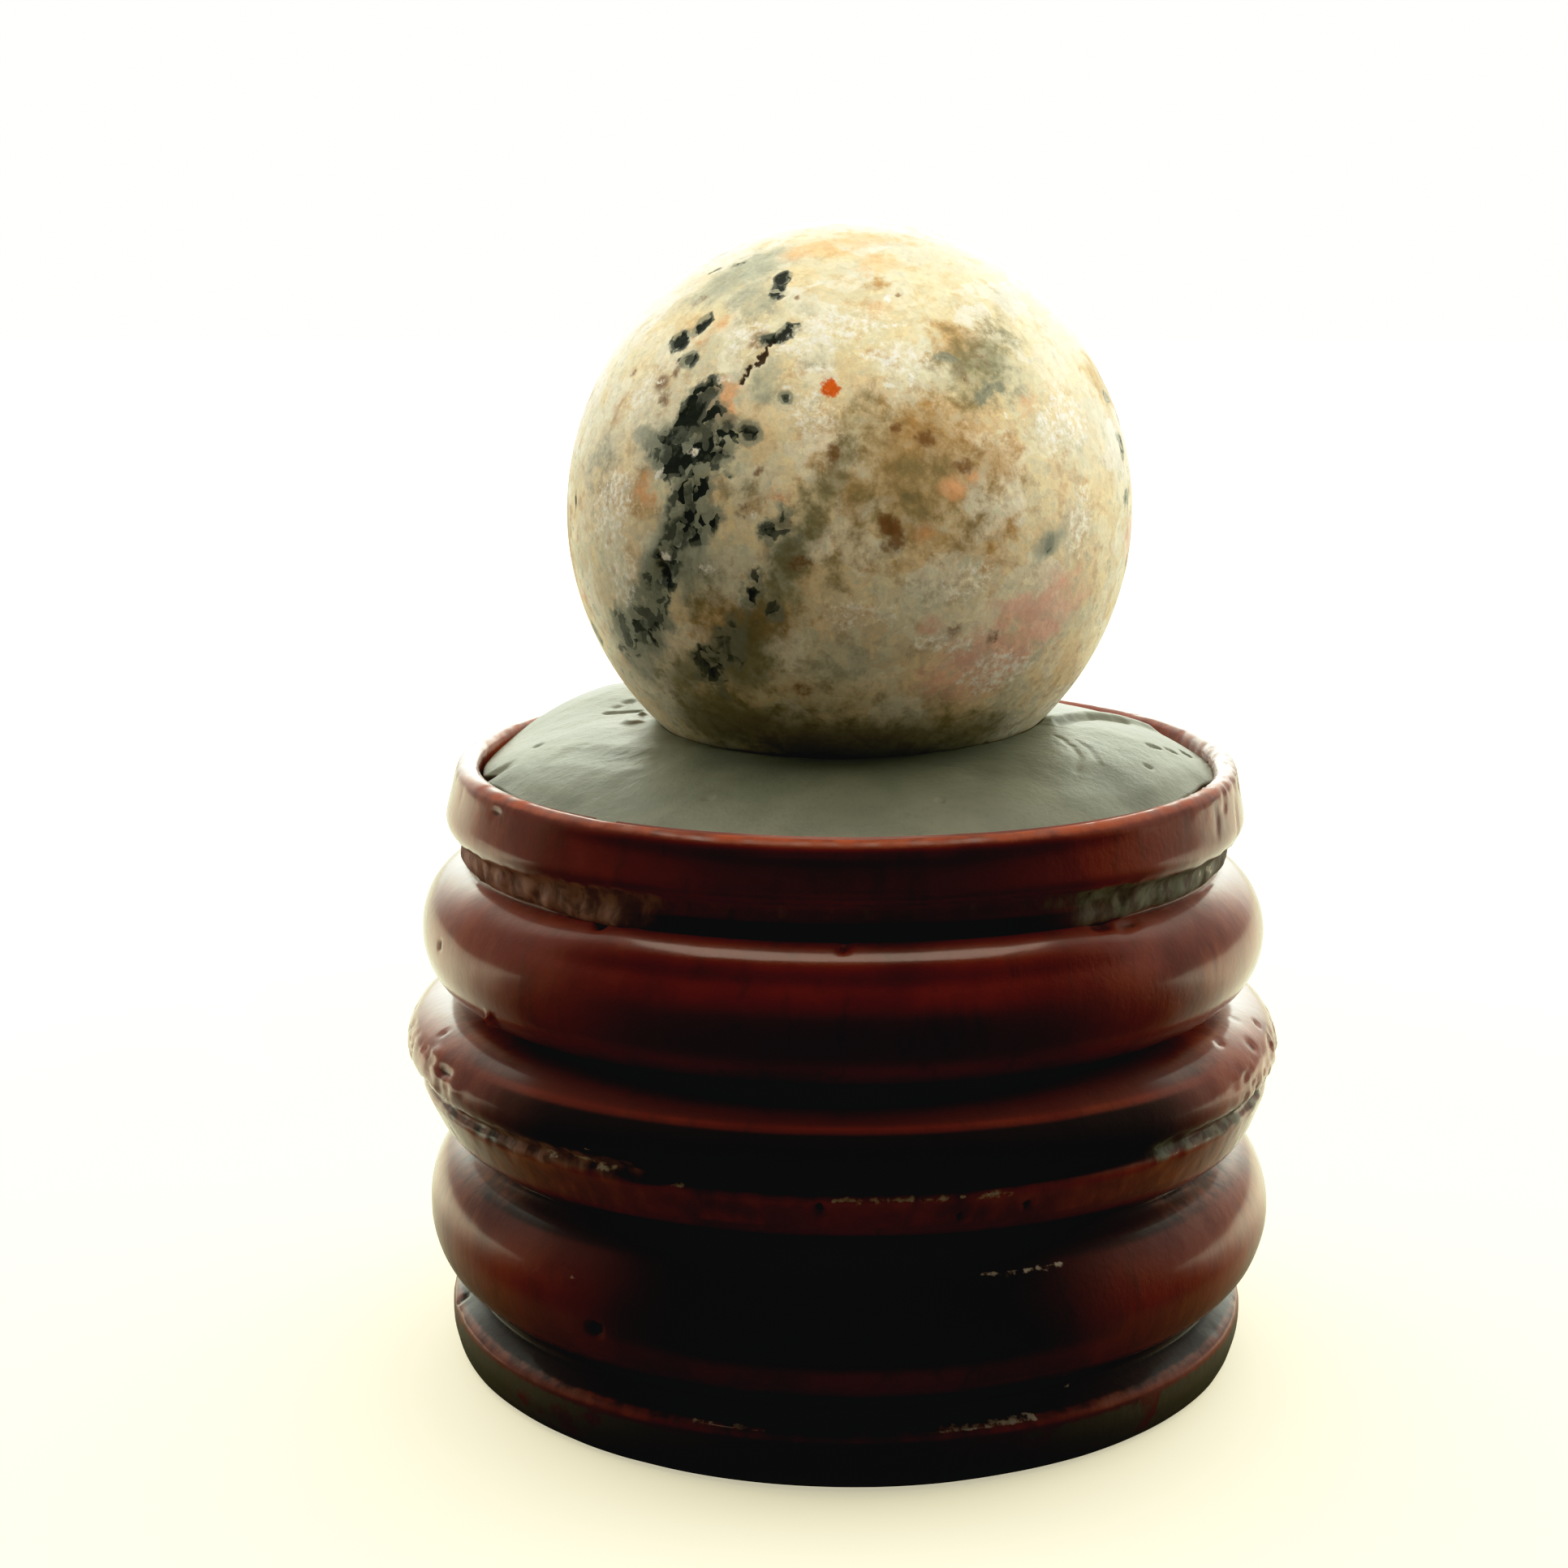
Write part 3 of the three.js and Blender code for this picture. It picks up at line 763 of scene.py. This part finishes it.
def make_ball():
    mesh, direction = cube_sphere()
    ragged = np.array([noise.turbulence_vector(Vector(d) * 22, 3, False) for d in direction])
    frayed = unit(direction + 0.013 * ragged)
    layers = stone_layers(direction, ragged, frayed)

    relief = 0.05 * fractal(direction, 0.7, 2, 21)
    pocked = 0.06 + 0.1 * np.abs(fractal(direction, 0.03, 2, 22))
    relief -= pocked * smooth(layers["dark"], 0.4, 0.9)
    relief -= 0.2 * layers["crack"] + 0.45 * patch_nearness(frayed, *STONE_PIT)
    points = direction * (BALL_RADII + relief[:, None]) + BALL_CENTRE
    for vertex, point in zip(mesh.verts, points):
        vertex.co = Vector(point) * MM
    data = bpy.data.meshes.new("ball")
    mesh.to_mesh(data)
    mesh.free()
    piece = linked_piece("ball", data)
    for kind, values in layers.items():
        paint(piece, kind, values)
    return piece


# ---- Nodes ----


def new_material(name):
    material = bpy.data.materials.new(name)
    material.use_nodes = True
    tree = material.node_tree
    return material, tree, tree.nodes["Principled BSDF"]


def feed(tree, node, inputs):
    """Sets a node's inputs, by name or number, to numbers or colours, or links other nodes' results."""
    for key, value in dict(inputs).items():
        socket = node.inputs[key]
        if isinstance(value, bpy.types.NodeSocket):
            tree.links.new(value, socket)
        elif isinstance(value, tuple) and socket.type == "RGBA":
            socket.default_value = (*value, 1.0)
        else:
            socket.default_value = value


def new_node(tree, kind, inputs=(), **settings):
    node = tree.nodes.new("ShaderNode" + kind)
    for name, value in settings.items():
        setattr(node, name, value)
    feed(tree, node, inputs)
    return node


def math_node(tree, operation, *inputs):
    return new_node(tree, "Math", enumerate(inputs), operation=operation).outputs[0]


def product(tree, first, *others):
    """The product of two or more numbers."""
    for other in others:
        first = math_node(tree, "MULTIPLY", first, other)
    return first


def parts_of(tree, vector):
    """A vector's x, y and z."""
    return new_node(tree, "SeparateXYZ", {0: vector}).outputs


def rising(tree, value, low, high, out_low=0.0, out_high=1.0):
    """out_low while value is below low, out_high above high and a smooth change between them."""
    inputs = {"Value": value, "From Min": low, "From Max": high, "To Min": out_low, "To Max": out_high}
    return new_node(tree, "MapRange", inputs, interpolation_type="SMOOTHSTEP").outputs["Result"]


def blended(tree, share, first, second, blend="MIX"):
    """A mix of two colours; share is how much of the second shows."""
    inputs = {0: share, 6: first, 7: second}
    return new_node(tree, "Mix", inputs, data_type="RGBA", blend_type=blend).outputs[2]


def stored(tree, name):
    """What paint stored under a name."""
    return new_node(tree, "Attribute", attribute_name=name).outputs["Fac"]


def place_of(tree, stretch=(1.0, 1.0, 1.0), shift=0.0):
    """The object's own coordinates in millimetres, scaled and shifted."""
    return new_node(tree, "Mapping", {
        "Vector": new_node(tree, "TexCoord").outputs["Object"],
        "Scale": tuple(s / MM for s in stretch),
        "Location": (shift, 1.3 * shift, 0.7 * shift),
    }).outputs["Vector"]


def mottle(tree, size, detail=3.0, rough=0.5, warp=0.0, shift=0.0, stretch=(1.0, 1.0, 1.0)):
    """Noise from 0 to 1 whose lumps are about size mm wide."""
    return new_node(tree, "TexNoise", {
        "Vector": place_of(tree, stretch, shift),
        "Scale": 1.0 / size,
        "Detail": detail,
        "Roughness": rough,
        "Distortion": warp,
    }).outputs["Fac"]


def strayed_place(tree, size, amount, shift=0.0):
    """The place in millimetres, moved about by up to amount mm in swirls of size mm."""
    place = place_of(tree, shift=shift)
    swirls = new_node(tree, "TexNoise", {"Vector": place, "Scale": 1.0 / size, "Detail": 3.0})
    inputs = {0: swirls.outputs["Color"], 1: (2 * amount,) * 3, 2: place}
    return new_node(tree, "VectorMath", inputs, operation="MULTIPLY_ADD").outputs[0]


def crystals(tree, place, size):
    """A random value from 0 to 1 for each crystal about size mm wide."""
    cells = new_node(tree, "TexVoronoi", {"Vector": place, "Scale": 1.0 / size})
    return new_node(tree, "SeparateColor", {0: cells.outputs["Color"]}).outputs[0]


def ragged_mask(tree, value, noise_value, low, high, most=1.0, raggedness=0.9):
    """A stored mask, up to most, with noise where it is neither empty nor full."""
    part = product(tree, value, math_node(tree, "SUBTRACT", 1.0, value))
    swing = product(tree, math_node(tree, "SUBTRACT", noise_value, 0.5), 8.0 * raggedness)
    return rising(tree, math_node(tree, "MULTIPLY_ADD", part, swing, value), low, high, 0.0, most)


def bump_map(tree, height, depth):
    """Fine relief too small for the mesh, depth in millimetres."""
    return new_node(tree, "Bump", {"Height": height, "Distance": depth * MM}).outputs["Normal"]


# ---- Materials ----


def lacquer():
    """Red-brown lacquer under a clear gloss, rubbed on its edges, missing where the wood is torn, and with
    painted shade, light and reflections.
    """
    material, tree, shader = new_material("red_lacquer")
    broad = mottle(tree, 9.0, 3, 0.55, 0.3)
    fine = mottle(tree, 0.6, 4, 0.6, 0.2, 4.0)
    drawn = mottle(tree, 1.2, 4, 0.6, 0.2, 7.0, (1.0, 1.0, 0.25))
    crumbs = mottle(tree, 1.3, 3, 0.6, 0.4, 11.0, (1.0, 1.0, 0.7))
    color = blended(tree, rising(tree, broad, 0.35, 0.65), (0.165, 0.017, 0.005), (0.25, 0.034, 0.009))
    color = blended(tree, rising(tree, drawn, 0.5, 0.8, 0.0, 0.5), color, (0.07, 0.022, 0.009))
    # Torn wood is brown at the left and turns grey-green towards the right, where the grey-green is a
    # painted reflection of the surroundings.
    reflection_rightward = rising(tree, parts_of(tree, place_of(tree))[0], -12.0, 12.0)
    torn = blended(tree, reflection_rightward, (0.37, 0.20, 0.14), (0.24, 0.27, 0.20))
    torn = blended(tree, rising(tree, crumbs, 0.62, 0.35, 0.0, 0.68), torn, (0.05, 0.022, 0.012))
    for name, tint, grain, low, high, most, raggedness in (
        # Painted shade: near-black where the lacquer mirrors dark surroundings at the front and beside the
        # creases
        ("painted_shade", (0.012, 0.005, 0.004), broad, 0.05, 0.95, 0.95, 0.3),
        # Orange: rubbed wear, painted light on the stand's sides and a painted highlight on the rim's edge
        ("worn", (0.40, 0.080, 0.022), drawn, 0.15, 0.9, 0.85, 0.6),
        # Painted reflection: a dull yellow-green sheen on the base's side, where it mirrors the floor
        ("painted_base_reflection", (0.085, 0.080, 0.046), fine, 0.2, 0.8, 0.92, 0.6),
        # Near-black pits and V cut: grime, and painted shade in these hollows
        ("dirt_and_shade", (0.016, 0.012, 0.010), fine, 0.2, 0.8, 0.95, 0.5),
        ("torn", torn, drawn, 0.1, 0.8, 0.9, 0.6),
        ("pale", (0.66, 0.58, 0.46), fine, 0.3, 0.7, 0.9, 0.9),
    ):
        share = ragged_mask(tree, stored(tree, name), grain, low, high, most, raggedness)
        color = blended(tree, share, color, tint)
    bare = rising(tree, math_node(tree, "MAXIMUM", stored(tree, "torn"), stored(tree, "pale")), 0.3, 0.8)
    dull = math_node(tree, "MAXIMUM", bare, stored(tree, "dull"))
    feed(tree, shader, {
        "Base Color": color,
        "Roughness": rising(tree, dull, 0.0, 1.0, 0.42, 0.8),
        "Coat Weight": rising(tree, dull, 0.1, 0.9, 1.0, 0.0),
        "Coat Roughness": 0.15,
        "Normal": bump_map(tree, math_node(tree, "ADD", fine, drawn), 0.03),
    })
    return material


def putty():
    """Grey-green modelling putty with a faint, even sheen."""
    material, tree, shader = new_material("grey_putty")
    broad = mottle(tree, 5.0, 4, 0.6, 0.4, 2.0)
    fine = mottle(tree, 0.5, 4, 0.7, 0.3, 6.0)
    color = blended(tree, rising(tree, broad, 0.3, 0.7), (0.16, 0.18, 0.137), (0.205, 0.22, 0.165))
    color = blended(tree, rising(tree, fine, 0.5, 0.8, 0.0, 0.4), color, (0.10, 0.115, 0.085))
    normal = bump_map(tree, fine, 0.05)
    feed(tree, shader, {"Base Color": color, "Roughness": 0.38, "IOR": 1.6, "Normal": normal})
    return material


def stone():
    """Cream and pale crystals with grey, ochre, rose and near-black patches where they are stored, some of
    them painted shade low on the ball and painted highlights near its sides.
    """
    material, tree, shader = new_material("polished_stone")
    fine = mottle(tree, 0.45, 4, 0.7, 0.1)
    middling = mottle(tree, 1.5, 5, 0.68, 0.2, 5.0)
    broad = mottle(tree, 5.0, 5, 0.65, 0.3, 9.0)
    place = strayed_place(tree, 1.6, 1.1, 3.0)
    large = crystals(tree, place, 2.6)
    small = crystals(tree, place, 0.8)
    grains = math_node(tree, "MULTIPLY_ADD", math_node(tree, "ADD", small, middling), 0.5, -0.02)

    color = blended(tree, rising(tree, broad, 0.36, 0.64), (0.90, 0.77, 0.51), (0.78, 0.75, 0.58))
    color = blended(tree, rising(tree, large, 0.5, 0.95, 0.0, 0.6), color, (0.96, 0.92, 0.78))
    color = blended(tree, rising(tree, large, 0.35, 0.0, 0.0, 0.35), color, (0.84, 0.62, 0.38))
    color = blended(tree, rising(tree, middling, 0.50, 0.68, 0.0, 0.6), color, (0.62, 0.44, 0.23))
    color = blended(tree, rising(tree, middling, 0.47, 0.30, 0.0, 0.6), color, (0.63, 0.65, 0.53))
    for name, tint, grain, low, high, most in (
        ("grey", (0.40, 0.44, 0.37), middling, 0.05, 0.9, 0.85),
        ("ochre", (0.48, 0.29, 0.105), middling, 0.05, 1.0, 0.9),
        # Green-brown mineral, which low on the ball is painted shade
        ("olive_and_shade", (0.24, 0.235, 0.14), middling, 0.05, 1.0, 0.88),
        ("peach", (0.88, 0.50, 0.27), middling, 0.05, 0.9, 0.75),
        ("rose", (0.93, 0.58, 0.48), middling, 0.05, 1.0, 0.75),
        ("brown", (0.22, 0.115, 0.05), fine, 0.2, 0.95, 0.85),
        ("dark", (0.30, 0.33, 0.27), middling, 0.08, 0.45, 0.75),
        ("dark", (0.085, 0.10, 0.085), grains, 0.42, 0.66, 0.85),
        ("dark", (0.024, 0.032, 0.029), grains, 0.75, 0.9, 0.93),
        ("crack", (0.05, 0.025, 0.015), fine, 0.3, 0.7, 0.95),
        ("ember", (0.74, 0.17, 0.035), fine, 0.35, 0.75, 1.0),
        # White crystals, with broad painted highlights near the ball's sides
        ("white_and_highlight", (0.97, 0.95, 0.87), fine, 0.3, 0.8, 0.95),
    ):
        share = ragged_mask(tree, stored(tree, name), grain, low, high, most)
        color = blended(tree, share, color, tint)
    for shade, low, high in ((small, 0.0, 1.0), (fine, 0.3, 0.7)):
        color = blended(tree, 1.0, color, rising(tree, shade, low, high, 0.92, 1.04), "MULTIPLY")
    feed(tree, shader, {
        "Base Color": color,
        "Roughness": rising(tree, middling, 0.3, 0.8, 0.26, 0.42),
        "Specular IOR Level": 0.1,
        "Subsurface Weight": 0.4,
        "Subsurface Radius": (1.0, 0.8, 0.5),
        "Subsurface Scale": 3.0 * MM,
        "Normal": bump_map(tree, math_node(tree, "ADD", fine, small), 0.04),
    })
    return material


# ---- Studio ----

CAMERA_PLACE = (0.0, -0.1842, 0.0768)
CAMERA_PITCH = 11.07  # degrees down from level
CAMERA_TURN = 1.43  # degrees to the left of straight back
SENSOR = 36.0
LENS = 59.63


def make_camera():
    data = bpy.data.cameras.new("camera")
    data.sensor_width = SENSOR
    data.lens = LENS
    data.clip_start = 0.01
    data.clip_end = 20
    camera = bpy.data.objects.new("camera", data)
    camera.location = CAMERA_PLACE
    camera.rotation_euler = (math.radians(90 - CAMERA_PITCH), 0, math.radians(CAMERA_TURN))
    bpy.context.scene.collection.objects.link(camera)
    bpy.context.scene.camera = camera


# The floor's colours: as seen, with a glow that is weaker near the stand as a painted shadow, lighting it
# from below, and as mirrored in the lacquer from behind the stand, just before it and to its sides
FLOOR_SHOWN = (0.64, 0.60, 0.46)
FLOOR_GLOW_PAINTED_SHADOW = (0.47, 0.45, 0.34)
FLOOR_BOUNCE = (0.18, 0.165, 0.13)
FLOOR_MIRRORED = (0.7, 0.75, 0.62)
FLOOR_MIRRORED_BEFORE = (0.04, 0.045, 0.03)
FLOOR_MIRRORED_ASIDE = (0.10, 0.11, 0.07)
WHITE = (1.0, 1.0, 1.0)
BLACK = (0.0, 0.0, 0.0)

# Where each of them gives way to the next, in metres
# The glow's painted shadow round the stand fades out between these distances from the axis
PAINTED_SHADOW_FADE = (0.07, 0.3)  # distance from the axis
ASIDE_FADE = (0.012, 0.045)  # distance to either side
NEAR_FADE = (0.040, 0.054)  # distance from the axis
REAR_FADE = (-0.015, 0.05)  # distance to the rear
FLOOR_SIZE = 6
FLOOR_HEIGHT = -0.0001


def floor_mirrored(tree, place, distance):
    """What reflections find of the floor: dark before the stand, so that its lacquer stays dark and rich.
    """
    x, y, _ = parts_of(tree, place)
    aside = rising(tree, math_node(tree, "ABSOLUTE", x), *ASIDE_FADE)
    before = blended(tree, aside, FLOOR_MIRRORED_BEFORE, FLOOR_MIRRORED_ASIDE)
    before = blended(tree, rising(tree, distance, *NEAR_FADE), before, BLACK)
    return blended(tree, rising(tree, y, *REAR_FADE), before, FLOOR_MIRRORED)


def pale_floor():
    material = bpy.data.materials.new("pale_floor")
    material.use_nodes = True
    tree = material.node_tree
    tree.nodes.clear()
    path = new_node(tree, "LightPath").outputs
    place = new_node(tree, "NewGeometry").outputs["Position"]
    distance = new_node(tree, "VectorMath", {0: place}, operation="LENGTH").outputs["Value"]

    color = blended(tree, path["Is Diffuse Ray"], FLOOR_SHOWN, FLOOR_BOUNCE)
    color = blended(tree, path["Is Glossy Ray"], color, floor_mirrored(tree, place, distance))
    surface = new_node(tree, "BsdfDiffuse", {"Color": color})
    # Seen directly the floor glows, less near the stand: a painted shadow round it
    glow_and_painted_shadow = blended(tree, rising(tree, distance, *PAINTED_SHADOW_FADE), FLOOR_GLOW_PAINTED_SHADOW, WHITE)
    lift = new_node(tree, "Emission", {"Color": glow_and_painted_shadow, "Strength": path["Is Camera Ray"]})
    both = new_node(tree, "AddShader", {0: surface.outputs[0], 1: lift.outputs[0]})
    new_node(tree, "OutputMaterial", {"Surface": both.outputs[0]})
    return material


def make_floor():
    bpy.ops.mesh.primitive_plane_add(size=FLOOR_SIZE, location=(0, 0, FLOOR_HEIGHT))
    floor = bpy.context.object
    floor.name = "floor"
    floor.data.materials.append(pale_floor())


TOP_LIGHT_PLACE = (0, -0.02, 0.5)
TOP_LIGHT_TARGET = (0, -0.02, 0)
BALL_LIGHT_OFFSET = (0.17, -0.35, 0.28)  # from the ball's centre
BALL_LIGHT_ANGLE = 5.8  # degrees; it reaches little more than the ball


def hang_light(name, kind, place, target, power, color):
    """A light at a place, turned to a target, both in metres."""
    data = bpy.data.lights.new(name, kind)
    data.energy = power
    data.color = color
    light = bpy.data.objects.new(name, data)
    light.location = place
    light.rotation_euler = (Vector(target) - Vector(place)).to_track_quat("-Z", "Y").to_euler()
    bpy.context.scene.collection.objects.link(light)
    return light


def top_light():
    """A wide soft light above."""
    light = hang_light("top_light", "AREA", TOP_LIGHT_PLACE, TOP_LIGHT_TARGET, 1.1, (1.0, 0.90, 0.72))
    light.data.shape = "RECTANGLE"
    light.data.size = 0.5
    light.data.size_y = 0.3
    light.visible_camera = False


def ball_light():
    """A narrow lamp from the front and above."""
    centre = Vector(BALL_CENTRE) * MM
    place = centre + Vector(BALL_LIGHT_OFFSET)
    light = hang_light("ball_light", "SPOT", place, centre, 3.6, (1.0, 0.96, 0.84))
    light.data.spot_size = math.radians(BALL_LIGHT_ANGLE)
    light.data.spot_blend = 0.7
    light.data.shadow_soft_size = 0.01
    light.visible_glossy = False


def glow(tree, strength, color):
    """A background of one colour whose strength is a number or the result of other nodes."""
    return new_node(tree, "Background", {"Color": color, "Strength": strength}).outputs[0]


def choose(tree, share, first, second):
    """A mix of two shaders; share is how much of the second shows."""
    return new_node(tree, "MixShader", enumerate((share, first, second))).outputs[0]


# Strengths: what the lacquer mirrors behind it, low down, higher up and near the top; the light that falls
# on things, from the wall and from overhead
MIRRORED_LOW = 2.4
MIRRORED_HIGH = 4.2
MIRRORED_TOP = 0.75
LIGHTING_WALL = 5.4
OVERHEAD = 1.95
MIRRORED_NARROWNESS = 7.0  # how closely the mirrored wall keeps to straight behind


def rear_share(tree, x, y):
    """How far a direction points to the rear, its height left aside: 1 straight back, -1 to the front."""
    level = math_node(tree, "SQRT", math_node(tree, "ADD", product(tree, x, x), product(tree, y, y)))
    return math_node(tree, "DIVIDE", y, math_node(tree, "MAXIMUM", level, 0.001))


def mirrored_wall(tree, rearward, z):
    """What the lacquer mirrors: a bright wall behind, a softer part above it, and darkness before."""
    behind = math_node(tree, "POWER", math_node(tree, "MAXIMUM", rearward, 0.0), MIRRORED_NARROWNESS)
    low_part = product(tree, behind, rising(tree, z, 0.0, 0.3, MIRRORED_LOW, MIRRORED_HIGH),
                       rising(tree, z, 0.28, 0.6, 1.0, 0.0))
    high_part = product(tree, rising(tree, rearward, 0.2, 0.75, 0.0, MIRRORED_TOP),
                        rising(tree, z, 0.42, 0.65), rising(tree, z, 0.86, 0.95, 1.0, 0.0))
    return math_node(tree, "ADD", low_part, high_part)


def wall_and_overhead(tree, rearward, x, y, z):
    """The light that falls on the object: a wall behind, a little stronger at the right, and overhead."""
    wall = product(tree, rising(tree, rearward, -0.1, 0.35, 0.0, LIGHTING_WALL),
                   rising(tree, z, 0.3, 0.75, 1.0, 0.0), rising(tree, x, -1.0, 1.0, 0.92, 1.15))
    overhead = product(tree, rising(tree, z, 0.5, 0.96, 0.0, OVERHEAD), rising(tree, y, -0.3, 0.2))
    return math_node(tree, "ADD", overhead, wall)


def make_world():
    """A white backdrop, and different surroundings for what lights the object and what it mirrors."""
    world = bpy.data.worlds.new("studio")
    bpy.context.scene.world = world
    world.use_nodes = True
    tree = world.node_tree
    tree.nodes.clear()
    x, y, z = parts_of(tree, new_node(tree, "TexCoord").outputs["Generated"])
    rearward = rear_share(tree, x, y)
    lighting = glow(tree, wall_and_overhead(tree, rearward, x, y, z), (1.0, 0.97, 0.86))
    reflections = glow(tree, mirrored_wall(tree, rearward, z), (0.93, 1.0, 0.86))
    backdrop = glow(tree, 1.0, (1.0, 1.0, 0.97))
    path = new_node(tree, "LightPath").outputs
    mixed = choose(tree, path["Is Glossy Ray"], lighting, reflections)
    mixed = choose(tree, path["Is Camera Ray"], mixed, backdrop)
    new_node(tree, "OutputWorld", {"Surface": mixed})


# The picture's contrast: what it makes of each scene value, with deep shadows and full lights
TONE_CURVE = ((0.012, 0.0042), (0.03, 0.017), (0.08, 0.064), (0.2, 0.19), (0.4, 0.42), (0.7, 0.77))
DARKEST = 0.0035


def set_contrast(view):
    view.view_transform = "Standard"
    view.look = "None"
    view.use_curve_mapping = True
    curve = view.curve_mapping.curves[3]
    curve.points[0].location = (0.0, DARKEST)
    for value, result in TONE_CURVE:
        curve.points.new(value, result)
    view.curve_mapping.update()


# ---- Assembly ----

stand = make_stand()
pad = make_putty()
ball = make_ball()
for piece, node, slot, finish in (
    (stand, "turned_stand", "lacquered_wood", lacquer()),
    (pad, "putty_pad", "putty", putty()),
    (ball, "stone_sphere", "stone", stone()),
):
    piece.data.materials.append(finish)
    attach(piece, "root")
    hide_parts(node)

make_camera()
make_floor()
make_world()
top_light()
ball_light()
set_contrast(bpy.context.scene.view_settings)
